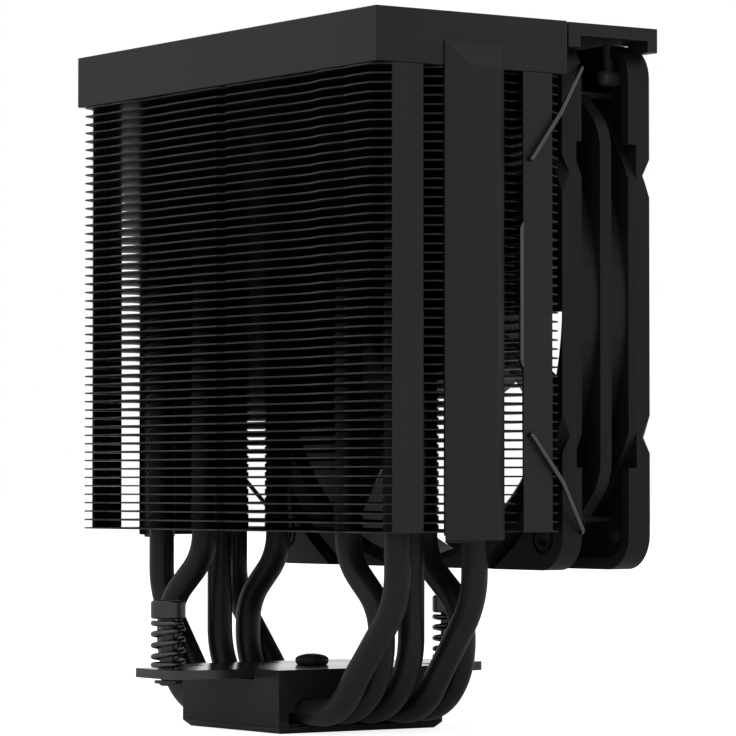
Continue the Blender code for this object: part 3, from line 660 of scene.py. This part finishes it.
def contact_plate():
    """The cold plate under the pipes, chamfered round its foot."""
    chamfer = 1.4
    plate = bmesh.new()
    sizes = (
        (PLATE_HIGH.x - chamfer, PLATE_HIGH.y - chamfer, 0.0),
        (PLATE_HIGH.x, PLATE_HIGH.y, chamfer),
        (PLATE_HIGH.x, PLATE_HIGH.y, PLATE_HIGH.z),
    )
    rings = []
    for x, y, z in sizes:
        rings.append([plate.verts.new(p) for p in ((x, y, z), (-x, y, z), (-x, -y, z), (x, -y, z))])
    loft(plate, rings)
    plate.faces.new(rings[0])
    plate.faces.new(rings[-1])
    contact = add_object("contact_plate", plate, BASE_COAT)
    soften(contact, 0.12, 2)
    settle(contact, "tower", "black_nickel", "cold_plate")


def bar():
    """The steel bar across the base that the two spring screws pull down."""
    half = BAR_HIGH.x
    tip = half - 1.0
    taper = 34.0
    corner = 1.5
    x, y = tip - corner, BAR_HIGH.y - corner
    outline = [(half, -taper), (half, taper)]
    outline += arc((x, y), corner, 0, 90, 5)
    outline += arc((-x, y), corner, 90, 180, 5)
    outline += [(-half, taper), (-half, -taper)]
    outline += arc((-x, -y), corner, 180, 270, 5)
    outline += arc((x, -y), corner, 270, 360, 5)
    holes = [circle(2.4, 28, (0, screw_y)) for screw_y in (-SCREW_Y, SCREW_Y)] + [circle(2.3, 28)]
    piece = add_object("cross_bar", slab(outline, BAR_LOW.z, BAR_HIGH.z, holes), BAR_STEEL)
    soften(piece, 0.2, 2)
    settle(piece, "tower", "dark_steel", "mounting_bar")


def cross_recess(piece, top, reach, deep):
    """Cuts a cross-head recess into a screw's top."""
    for across, along in ((0.5, reach), (reach, 0.5)):
        combine(piece, box((-across, -along, top - deep), (across, along, top + 1)), "DIFFERENCE")


def centre_screw():
    """The round-headed screw that holds the bar at its middle."""
    low = BAR_HIGH.z + 0.02
    tip = BAR_LOW.z - 2.8
    head = 3.9
    rise = 2.6
    shoulder = 1.3
    profile = [(0, tip), (1.8, tip), (1.8, low), (3.4, low), (3.75, low + 0.3), (head, low + 0.8)]
    for k in range(6):
        turn = radians(k * 15)
        profile.append((head * cos(turn), low + shoulder + (rise - shoulder) * sin(turn)))
    profile.append((0, low + rise))
    screw = add_object("centre_screw", lathe(profile, 40), BASE_COAT)
    cross_recess(screw, low + rise, 1.7, 1.4)
    settle(screw, "tower", "dark_steel", "bar_screw")


def captive_screw(name, y, body, node):
    """A spring screw with a flat head, a plain shank and a groove for its retaining ring."""
    low, top, tip = SCREW_HEAD_LOW, SCREW_HIGH.z, SCREW_LOW.z
    shank, groove, head = SCREW_SHANK, 1.6, SCREW_HEAD
    face = top - 0.4
    profile = [(0, tip), (shank - 0.4, tip), (shank, tip + 0.3), (shank, tip + 0.4)]
    profile += [(groove, tip + 0.4), (groove, tip + 1.5), (shank, tip + 1.5), (shank, low)]
    profile += [(head - 0.3, low), (head, low + 0.3), (head, face), (head - 0.4, top)]
    profile += [(2.2, top), (2.2, face), (0, face)]
    screw = add_object(name, lathe(profile, 48), SCREW_STEEL)
    cross_recess(screw, face, 1.9, 1.6)
    screw.location = Vector((0, y, 0)) * MM
    settle(screw, body, "dark_steel", node)


def snap_ring(name, y, body, node):
    """The C-shaped ring that keeps a screw captive under the bar."""
    low = SCREW_LOW.z + 0.55
    outline = arc((0, 0), 3.1, 40, 320, 28) + arc((0, 0), 1.75, 320, 40, 28)
    ring = add_object(name, slab(outline, low, low + 0.7), SCREW_STEEL, (0, y, 0))
    soften(ring, 0.08, 2)
    settle(ring, body, "dark_steel", node)


def coil(name, y, node):
    """A spring with closed ends, on a mesh of its own."""
    low = SPRING_LOW.z + SPRING_WIRE
    high = SPRING_HIGH.z - SPRING_WIRE
    closed = 0.45 / SPRING_TURNS
    steps = round(SPRING_TURNS * 20)
    points = []
    for k in range(steps + 1):
        share = k / steps
        eased = min(1.0, max(0.0, (share - closed) / (1 - 2 * closed)))
        turn = 2 * pi * SPRING_TURNS * share
        height = low + (high - low) * (0.93 * eased + 0.07 * share)
        points.append(Vector((SPRING_RADIUS * cos(turn), SPRING_RADIUS * sin(turn), height)))
    spring = add_object(name, sweep(points, SPRING_WIRE, 14), SPRING_STEEL, (0, y, 0))
    settle(spring, "tower", "dark_steel", node)
    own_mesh(spring)


# --- fan ----------------------------------------------------------------------------------------------
def flange_outline(half, corner):
    """A square with rounded corners."""
    return four_corners(arc((half - corner, half - corner), corner, 0, 90, 10))


def clipped_circle(radius, half):
    """A circle whose four sides are cut flat by a square."""
    cut = asin(half / radius)
    start, end = 90 - cut * 180 / pi, cut * 180 / pi
    return four_corners(arc((0, 0), radius, start, end, 14))


def corner_rims(shape, low, high):
    """The raised rim that follows the flange's edge round each screw hole."""
    start = 36.8
    width = 2.7
    centre = (FAN_HALF - FLANGE_CORNER, FAN_HALF - FLANGE_CORNER)
    quarter = [(FAN_HALF, start)] + arc(centre, FLANGE_CORNER, 0, 90, 10)
    quarter += [(start, FAN_HALF), (start, FAN_HALF - width)]
    quarter += arc(centre, FLANGE_CORNER - width, 90, 0, 10) + [(FAN_HALF - width, start)]
    outlines = four_corners(quarter)
    count = len(quarter)
    for k in range(4):
        slab(outlines[k * count:(k + 1) * count], low, high, into=shape)


def fan_flanges():
    """The two square flanges, each with its raised rims and a ring against the barrel."""
    bore = circle(BORE_RADIUS + 0.9, FAN_SIDES)
    outline = flange_outline(FAN_HALF, FLANGE_CORNER)
    rear, front = -FAN_FACE, FAN_FACE
    shape = slab(outline, rear, rear + REAR_FLANGE, [bore])
    piece = add_object("fan_housing", shape, PLASTIC, FAN_PLACE, FAN_TURN, 28)
    combine(piece, slab(outline, front - FRONT_FLANGE, front, [bore]), "UNION")
    for low, high in ((rear + 0.3, rear + 5.5), (front - 6.1, front - 0.3)):
        rims = bmesh.new()
        corner_rims(rims, low, high)
        combine(piece, rims, "UNION")
        combine(piece, slab(clipped_circle(RING_RADIUS, FAN_HALF - 0.01), low, high, [bore]), "UNION")
    return piece


def fan_barrel(piece):
    """The round wall between the flanges, and the flare cut into its rear mouth."""
    rear, front = -FAN_FACE, FAN_FACE
    lip = 1.4
    mouth = BORE_RADIUS + 1.6
    wall = [(mouth, rear), (BARREL_RADIUS, rear), (BARREL_RADIUS, front), (mouth, front)]
    wall += [(BORE_RADIUS, front - lip * 1.6), (BORE_RADIUS, rear + lip)]
    combine(piece, lathe(wall, FAN_SIDES), "UNION")
    inside = BORE_RADIUS - 6
    flare = [(inside, rear + 2.0), (BORE_RADIUS, rear + 2.0)]
    flare += [(FAN_HALF + 0.3, rear - 0.35), (inside, rear - 0.35)]
    combine(piece, lathe(flare, FAN_SIDES), "DIFFERENCE")


def fan_rib(piece):
    """The rib round the barrel's middle, an octagon with rounded corners."""
    diagonal = 100.0
    bend = 11.5
    middle = FAN_HALF - bend - 0.02
    side_end = diagonal - FAN_HALF - bend * tan(pi / 8)
    corner = arc((middle, side_end), bend, 0, 45, 6) + arc((side_end, middle), bend, 45, 90, 6)
    combine(piece, slab(four_corners(corner), -1.7, 1.5, [circle(BORE_RADIUS + 0.9, FAN_SIDES)]), "UNION")


def corner_webs(piece):
    """The thin walls from flange to flange beside the four screw holes."""
    webs = bmesh.new()
    for x in (-1, 1):
        for y in (-1, 1):
            xs = sorted((x * 33.5, x * 51.5))
            ys = sorted((y * 47.9, y * 49.1))
            box((xs[0], ys[0], 3.8 - FAN_FACE), (xs[1], ys[1], FAN_FACE - 3.6), webs)
    combine(piece, webs, "UNION")


def fan_face_cuts(piece):
    """The screw holes, with a round groove and a shallow ring at each hole in both faces."""
    for spot in HOLE_SPOTS:
        combine(piece, slab(circle(HOLE_RADIUS, 24, spot), -FAN_FACE - 1, FAN_FACE + 1), "DIFFERENCE")
    grooves = bmesh.new()
    rings = bmesh.new()
    for away in (-1, 1):
        face = away * FAN_FACE
        edge, deep, above = face + away * 0.05, face - away * 2.2, face + away
        lathe([(64.9, edge), (66.8, deep), (68.8, edge), (66.8, above)], FAN_SIDES, grooves)
        low, high = sorted((face - away * 0.9, above))
        for spot in HOLE_SPOTS:
            lathe([(3.0, low), (3.9, low), (3.9, high), (3.0, high)], 28, rings, spot)
    combine(piece, grooves, "DIFFERENCE")
    combine(piece, rings, "DIFFERENCE")


def motor_mount(piece):
    """The motor plate, its bearing tube, the four arms that carry it and the lead's way out."""
    low, top = MOTOR_PLATE
    arms = bmesh.new()
    inner, outer, half = 17.5, BORE_RADIUS + 0.6, 1.6
    ends = [(inner, -half), (outer, -half), (outer, half), (inner, half)]
    for k in range(4):
        turn = k * pi / 2
        arm = [(x * cos(turn) - y * sin(turn), x * sin(turn) + y * cos(turn)) for x, y in ends]
        slab(arm, low + 0.1, top + 1.0, into=arms)
    combine(piece, arms, "UNION")
    plate, tube, tube_bore, tube_top = 19.5, 4.6, 3.4, 4.0
    profile = [(0, low), (plate - 0.6, low), (plate, low + 0.6), (plate, top), (tube, top)]
    profile += [(tube, tube_top), (tube_bore, tube_top), (tube_bore, top + 0.1), (0, top + 0.1)]
    combine(piece, lathe(profile, 64), "UNION")
    combine(piece, box((55, 2.2, -14), (61, 5.8, -7.0)), "DIFFERENCE")


def fan_housing():
    """The fan's frame with the motor mount, as one piece."""
    piece = fan_flanges()
    fan_barrel(piece)
    fan_rib(piece)
    corner_webs(piece)
    fan_face_cuts(piece)
    motor_mount(piece)
    piece.data.shade_smooth()
    piece.data.set_sharp_from_angle(angle=radians(28))
    soften(piece, 0.14, 1, 40)
    settle(piece, "tower", "fan_plastic", "fan_frame")


def blade_section(share, turn):
    """The closed outline of a blade at a share of its way from the hub to the tip."""
    root = HUB_RADIUS - 0.9
    radius = root + (BLADE_TIP - root) * share
    chord = radians(44 - 10 * share ** 0.6)
    low = -7.5 - 0.9 * sin(pi * share) + 1.5 * share ** 3
    high = 8.0 + 0.9 * sin(pi * share)
    lean = radians(10) * share
    steps = 12
    front, back = [], []
    for k in range(steps + 1):
        along = k / steps
        angle = turn + lean + chord * (along - 0.5)
        height = low + (high - low) * along + 1.6 * sin(pi * along)
        half = 0.12 + 0.62 * (sin(pi * min(1.0, along ** 0.8)) ** 0.6 if 0 < k < steps else 0)
        front.append(Vector((radius * cos(angle), radius * sin(angle), height + half)))
        back.append(Vector((radius * cos(angle), radius * sin(angle), height - half)))
    return front + back[::-1]


def blade(shape, turn):
    """Adds one blade, from inside the hub out to its tip."""
    slices = 10
    rings = []
    for k in range(slices + 1):
        rings.append([shape.verts.new(p) for p in blade_section(k / slices, turn)])
    loft(shape, rings)
    last = len(rings[0]) - 1
    for ring in (rings[0], rings[-1]):
        for k in range((last - 1) // 2):
            shape.faces.new((ring[k], ring[k + 1], ring[last - k - 1], ring[last - k]))


def rotor():
    """The hub cap with its blades."""
    wall = 1.8
    edge = 1.6
    low, top = -8.5, HUB_TOP
    profile = [(HUB_RADIUS - wall, low), (HUB_RADIUS - 0.3, low), (HUB_RADIUS, low + 0.3)]
    profile += arc((HUB_RADIUS - edge, top - edge), edge, 0, 90, 6)
    profile += [(14.6, top), (14.2, top - 0.35), (0, top - 0.35), (0, top - 2), (HUB_RADIUS - wall, top - 2)]
    piece = add_object("impeller", lathe(profile, 84), BLADE_PLASTIC, FAN_PLACE, FAN_TURN, 30)
    blades = bmesh.new()
    for k in range(BLADE_COUNT):
        blade(blades, 2 * pi * k / BLADE_COUNT)
    combine(piece, blades, "UNION")
    piece.data.shade_smooth()
    piece.data.set_sharp_from_angle(angle=radians(40))
    settle(piece, "rotor", "fan_plastic", "fan_rotor")


def lead():
    """The sleeved lead and its plug."""
    corners = [(20.5, 4.0, -10.6), (61.6, 4.0, -10.6), (61.6, 4.0, 0.0), (61.6, -14.0, 0.0)]
    corners += [(56.5, -30.0, 0.0), (56.5, -38.0, 0.0)]
    path = rounded_path(corners, [1.8, 3.0, 6.0, 6.0], 8)
    cable = add_object("lead", sweep(path, 1.15, 20), SLEEVE, FAN_PLACE, FAN_TURN)
    settle(cable, "tower", "soft_rubber", "fan_cable")
    plug = add_object("lead_plug", box((53.5, -44.0, -3.5), (58.8, -38.4, 3.5)), PLASTIC, FAN_PLACE, FAN_TURN)
    for k in range(3):
        middle = (k - 1) * 2.2
        combine(plug, box((55.0, -45, middle - 0.55), (56.2, -42, middle + 0.55)), "DIFFERENCE")
    for z in (-2.6, 2.6):
        combine(plug, box((58.2, -45, z - 0.3), (59.5, -39.5, z + 0.3)), "DIFFERENCE")
    soften(plug, 0.2, 2)
    settle(plug, "tower", "fan_plastic", "cable_plug")


def rubber_plug(name, side, node):
    """A rubber plug in one of the front flange's lower holes."""
    inner = FAN_FACE - 4.2
    top = FAN_FACE - 0.2
    profile = [(0, inner - 0.5), (1.3, inner - 0.4), (1.75, inner), (1.9, inner + 0.4), (1.9, top - 0.5)]
    profile += [(1.6, top), (0, top)]
    place = (side * HOLE_OFFSET, FAN_Y, FAN_Z - HOLE_OFFSET)
    plug = add_object(name, lathe(profile, 28), RUBBER, place, FAN_TURN)
    settle(plug, "tower", "soft_rubber", node)


def cap_legs():
    """The trim plate's end legs, each filling the corner outside the fan's round corner, seen along Y."""
    shape = bmesh.new()
    reach = FLANGE_CORNER + 0.35
    centre = (FAN_HALF - FLANGE_CORNER, FAN_Z + FAN_HALF - FLANGE_CORNER)
    low_turn = asin((CAP_FOOT - centre[1]) / reach) * 180 / pi
    high_turn = asin((CAP_UNDER + 0.3 - centre[1]) / (reach + 0.3)) * 180 / pi
    leg = arc(centre, reach, low_turn, high_turn, 8)
    leg += [(leg[-1][0], CAP_UNDER + 1), (CAP_HIGH.x, CAP_UNDER + 1), (CAP_HIGH.x, CAP_FOOT)]
    for side in (-1, 1):
        for ys in ((CAP_HIGH.y - 3.4, CAP_HIGH.y), (CAP_LOW.y, CAP_LOW.y + 2.7)):
            ends = [[shape.verts.new((side * x, y, z)) for x, z in leg] for y in ys]
            loft(shape, ends)
            for end in ends:
                shape.faces.new(end)
    bmesh.ops.recalc_face_normals(shape, faces=shape.faces[:])
    return shape


def cap():
    """The trim plate over the fan's top edge."""
    piece = add_object("fan_trim", box((CAP_LOW.x, CAP_LOW.y, CAP_UNDER), CAP_HIGH), COAT)
    combine(piece, cap_legs(), "UNION")
    soften(piece, 0.22, 2)
    settle(piece, "tower", "fan_plastic", "fan_cap")


def trim_pin(name, side):
    """The stem that plugs the trim plate into one of the front flange's upper holes."""
    top = FAN_FACE - 0.2
    profile = [(0, 4.0), (1.2, 4.1), (1.75, 4.5), (1.9, 5.1), (1.9, top - 0.4), (1.6, top), (0, top)]
    place = (side * HOLE_OFFSET, FAN_Y, FAN_Z + HOLE_OFFSET)
    pin = add_object(name, lathe(profile, 28), STEM_PLASTIC, place, FAN_TURN)
    reach = CAP_UNDER - 0.05 - place[2]
    combine(pin, box((-0.85, 0.5, 5.6), (0.85, reach, 7.4)), "UNION")
    settle(pin, "tower", "fan_plastic")


def wire_clip(name, side, body, node):
    """A sprung wire: tips in the fan's corner holes, arms over the strips, a run in the side groove."""
    lower, upper = [gap_height(k) + rise - FAN_Z for k, rise in HOLED_TABS.items()]
    high, low = WIRE_TIP_RISE + HOLE_OFFSET, WIRE_TIP_RISE - HOLE_OFFSET
    tip = (HOLE_OFFSET, WIRE_TIP_Y)
    turn = (HOLE_OFFSET, WIRE_HOOK[1])
    corners = [(*tip, high), (*turn, high), (*WIRE_HOOK, high), WIRE_UPPER_BEND]
    corners += [(*WIRE_OUTSIDE, upper), (*WIRE_BEHIND, upper)]
    corners += [(*WIRE_BEHIND, WIRE_RUN_TOP[0]), (*WIRE_RUN, WIRE_RUN_TOP[1])]
    corners += [(*WIRE_RUN, WIRE_RUN_FOOT[0]), (*WIRE_BEHIND, WIRE_RUN_FOOT[1])]
    corners += [(*WIRE_BEHIND, lower), (*WIRE_OUTSIDE, lower)]
    corners += [WIRE_LOWER_BEND, (*WIRE_HOOK, low), (*turn, low), (*tip, low)]
    path = rounded_path([(side * x, y, FAN_Z + z) for x, y, z in corners], WIRE_RADII, 12)
    pivot = Vector((side * HOLE_OFFSET, CLIP_PIVOT_Y, FAN_Z))
    clip = add_object(name, sweep([p - pivot for p in path], WIRE_RADIUS, 18), CLIP_STEEL, tuple(pivot))
    settle(clip, body, "clip_wire", node)


# --- pieces that keep their CAD shape -----------------------------------------------------------------
def finish_motor():
    """Gives the motor's CAD nodes, which the hub hides, their own surfaces."""
    looks = {
        "rotor_yoke": MOTOR_STEEL,
        "rotor_shaft": MOTOR_STEEL,
        "shaft_ring": MOTOR_STEEL,
        "stator_core": MOTOR_STEEL,
        "magnet_ring": MAGNET,
        "bearing_sleeve": BRONZE,
        "circuit_board": BOARD,
    }
    for k in range(4):
        looks[f"stator_coil_{k + 1}"] = COPPER
    for name, look in looks.items():
        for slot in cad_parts[name].material_slots:
            slot.material = look


# --- studio -------------------------------------------------------------------------------------------
def toward(tree, direction, edges, strengths):
    """A strength that rises between two limits as the world's direction nears the given one."""
    place = tree.nodes.new("ShaderNodeTexCoord")
    along = tree.nodes.new("ShaderNodeVectorMath")
    along.operation = "DOT_PRODUCT"
    along.inputs[1].default_value = Vector(direction).normalized()
    tree.links.new(place.outputs["Generated"], along.inputs[0])
    ramp = tree.nodes.new("ShaderNodeMapRange")
    ramp.interpolation_type = "SMOOTHSTEP"
    for name, value in zip(("From Min", "From Max", "To Min", "To Max"), (*edges, *strengths)):
        ramp.inputs[name].default_value = value
    link(tree, along.outputs["Value"], ramp, "Value")
    return ramp.outputs["Result"]


def added(tree, one, other):
    """The sum of two values."""
    total = tree.nodes.new("ShaderNodeMath")
    total.operation = "ADD"
    tree.links.new(one, total.inputs[0])
    tree.links.new(other, total.inputs[1])
    return total.outputs["Value"]


def studio_world():
    """White to the camera; to the cooler, bright at the rear and left, with the patches on top."""
    world = bpy.data.worlds.new("studio")
    bpy.context.scene.world = world
    world.use_nodes = True
    tree = world.node_tree
    tree.nodes.clear()
    room = toward(tree, KEY_DIRECTION, ROOM_EDGES, (AMBIENT_LOW, AMBIENT_HIGH))
    for direction, edge, strength in LIGHT_PATCHES:
        room = added(tree, room, toward(tree, direction, (edge, 1.0), (0.0, strength)))
    ambient = add_node(tree, "ShaderNodeBackground", Color=(1, 1, 1, 1))
    link(tree, room, ambient, "Strength")
    seen = add_node(tree, "ShaderNodeBackground", Color=(1, 1, 1, 1), Strength=1.0)
    rays = tree.nodes.new("ShaderNodeLightPath")
    choose = tree.nodes.new("ShaderNodeMixShader")
    link(tree, rays.outputs["Is Camera Ray"], choose, "Fac")
    tree.links.new(ambient.outputs["Background"], choose.inputs[1])
    tree.links.new(seen.outputs["Background"], choose.inputs[2])
    output = tree.nodes.new("ShaderNodeOutputWorld")
    link(tree, choose.outputs["Shader"], output, "Surface")


def softbox(name, place, target, size, power):
    """A square area light at a place, turned to a target point."""
    light = bpy.data.lights.new(name, "AREA")
    light.shape = "SQUARE"
    light.size = size
    light.energy = power
    lamp = bpy.data.objects.new(name, light)
    lamp.location = place
    lamp.rotation_euler = (Vector(target) - Vector(place)).to_track_quat("-Z", "Y").to_euler()
    bpy.context.scene.collection.objects.link(lamp)


def pale_floor():
    """A wide white sweep that keeps only a faint shadow under the cooler."""
    half = 4000.0
    height = -0.05
    shape = bmesh.new()
    corners = [(-half, -half), (half, -half), (half, half), (-half, half)]
    shape.faces.new([shape.verts.new((x, y, height)) for x, y in corners])
    look = bpy.data.materials.new("floor_look")
    look.use_nodes = True
    tree = look.node_tree
    tree.nodes.clear()
    matt = add_node(tree, "ShaderNodeBsdfDiffuse", Color=(FLOOR_TONE, FLOOR_TONE, FLOOR_TONE, 1))
    glow = add_node(tree, "ShaderNodeEmission", Color=(1, 1, 1, 1))
    rays = tree.nodes.new("ShaderNodeLightPath")
    link(tree, scaled(tree, rays.outputs["Is Camera Ray"], FLOOR_BOUNCE, FLOOR_GLOW), glow, "Strength")
    both = tree.nodes.new("ShaderNodeAddShader")
    tree.links.new(matt.outputs["BSDF"], both.inputs[0])
    tree.links.new(glow.outputs["Emission"], both.inputs[1])
    output = tree.nodes.new("ShaderNodeOutputMaterial")
    link(tree, both.outputs["Shader"], output, "Surface")
    floor = add_object("floor", shape, look)


def camera():
    """A long lens at the height of the pipes, looking slightly up at the rear left corner."""
    view = bpy.data.cameras.new("camera")
    view.sensor_width = 36.0
    view.lens = CAMERA_LENS
    view.clip_start = 0.01
    view.clip_end = 50.0
    eye = bpy.data.objects.new("camera", view)
    eye.location = Vector(CAMERA_PLACE) * MM
    eye.rotation_euler = [radians(angle) for angle in CAMERA_TURN]
    bpy.context.scene.collection.objects.link(eye)
    bpy.context.scene.camera = eye


def studio():
    """The surroundings, the lights and the camera."""
    studio_world()
    pale_floor()
    middle = (0, 0, 0.08)
    softbox("key", (-0.35, 1.2, 0.9), middle, 0.9, 0.5)
    softbox("side", (-1.2, 0.5, 0.6), middle, 0.8, 0.3)
    camera()
    bpy.context.scene.view_settings.view_transform = "Standard"


def build():
    """Every piece, then the studio."""
    heat_pipes()
    fins()
    strips()
    cover()
    trim_bar("trim_bar_left", -1, "side_bar_left")
    trim_bar("trim_bar_right", 1, "side_bar_right")
    base_block()
    contact_plate()
    bar()
    centre_screw()
    for place, y in (("front", -SCREW_Y), ("rear", SCREW_Y)):
        captive_screw(f"captive_screw_{place}", y, f"screw_{place}", f"spring_screw_{place}")
        snap_ring(f"snap_ring_{place}", y, f"screw_slide_{place}", f"screw_ring_{place}")
        coil(f"coil_{place}", y, f"screw_spring_{place}")
    fan_housing()
    rotor()
    lead()
    for name, side in (("left", -1), ("right", 1)):
        rubber_plug(f"hole_plug_{name}", side, f"fan_plug_{name}")
        wire_clip(f"clip_{name}", side, f"clip_{name}", f"wire_clip_{name}")
    cap()
    trim_pin("trim_pin_left", -1)
    trim_pin("trim_pin_right", 1)
    finish_motor()
    studio()


build()
